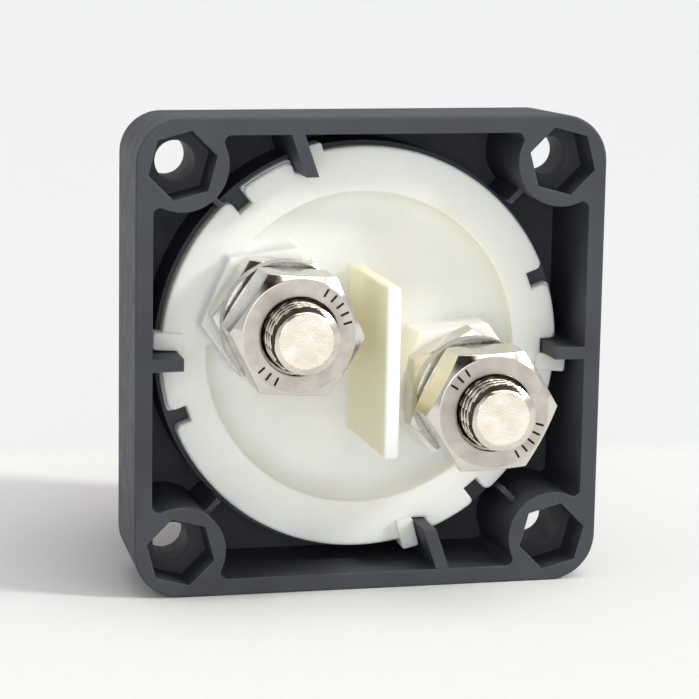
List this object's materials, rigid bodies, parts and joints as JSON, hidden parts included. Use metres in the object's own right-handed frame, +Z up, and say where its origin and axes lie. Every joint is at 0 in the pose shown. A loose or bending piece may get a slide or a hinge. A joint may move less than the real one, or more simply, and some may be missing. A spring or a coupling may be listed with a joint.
{
  "type": "rotary isolator switch",
  "caption": "Square surface-mount rotary battery isolator with a turning knob in front and threaded stud terminals on a round contact base behind.",
  "frame": {"origin": "on the switch's turning axis, in the plane of the housing's rear rim, which seats on the panel", "axes": "+Z up, +Y out of the rear along the terminal studs, the knob faces -Y, +X to the right as seen from the knob's side"},
  "size_m": [0.069, 0.076, 0.069],
  "materials": {
    "housing_plastic": "fine matt spark-eroded grain",
    "ivory_nylon": "satin, slightly translucent",
    "stainless_steel": "cold-formed, polished flats",
    "spring_steel": "drawn wire",
    "stud_steel": "rolled thread, turned end",
    "silver_alloy": "coined",
    "copper": "rolled bar, tumbled",
    "seal_rubber": "moulded",
    "rotor_plastic": "glass-filled, matt",
    "slip_plastic": "skived sheet",
    "knob_plastic": "satin moulded",
    "pointer_paint": "moulded inlay",
    "dial_plate": "satin printed ring",
    "off_colour": "raised mark",
    "on_colour": "raised mark"
  },
  "bodies": {
    "housing_body": {"housing": "housing_plastic", "contact_base": "ivory_nylon", "base_seal": "seal_rubber", "terminal_stud_upper": "stud_steel", "terminal_stud_lower": "stud_steel", "contact_pad_upper": "silver_alloy", "contact_pad_lower": "silver_alloy", "stud_seal_upper": "seal_rubber", "stud_seal_lower": "seal_rubber", "base_nut_upper": "stainless_steel", "base_nut_lower": "stainless_steel", "spring_washer_upper": "spring_steel", "spring_washer_lower": "spring_steel", "terminal_nut_upper": "stainless_steel", "terminal_nut_lower": "stainless_steel", "thrust_washer": "slip_plastic", "dial_ring": "dial_plate", "off_mark": "off_colour", "on_mark": "on_colour"},
    "rotor_body": {"rotor": "rotor_plastic", "drive_shaft": "stainless_steel", "shaft_seal": "seal_rubber", "shaft_clip": "spring_steel", "detent_ball_upper": "stainless_steel", "detent_ball_lower": "stainless_steel", "detent_spring_upper": "spring_steel", "detent_spring_lower": "spring_steel", "spring_cup": "stainless_steel", "contact_spring": "spring_steel", "knob": "knob_plastic", "knob_screw": "stainless_steel", "knob_cap": "knob_plastic", "knob_pointer": "pointer_paint"},
    "bridge_body": {"contact_bridge": "copper", "bridge_tip_upper": "silver_alloy", "bridge_tip_lower": "silver_alloy"}
  },
  "joints": [
    {"name": "knob_turn", "type": "hinge", "parent": "housing_body", "child": "rotor_body", "pos_m": [0, 0, 0], "axis": [0, 1, 0], "range_deg": [0, 90]},
    {"name": "contact_lift", "type": "slide", "parent": "rotor_body", "child": "bridge_body", "axis": [0, -1, 0], "range_m": [0, 0.0012], "stiffness_N_per_m": 2000, "springref_m": -0.001, "deforming": ["contact_spring"]}
  ]
}
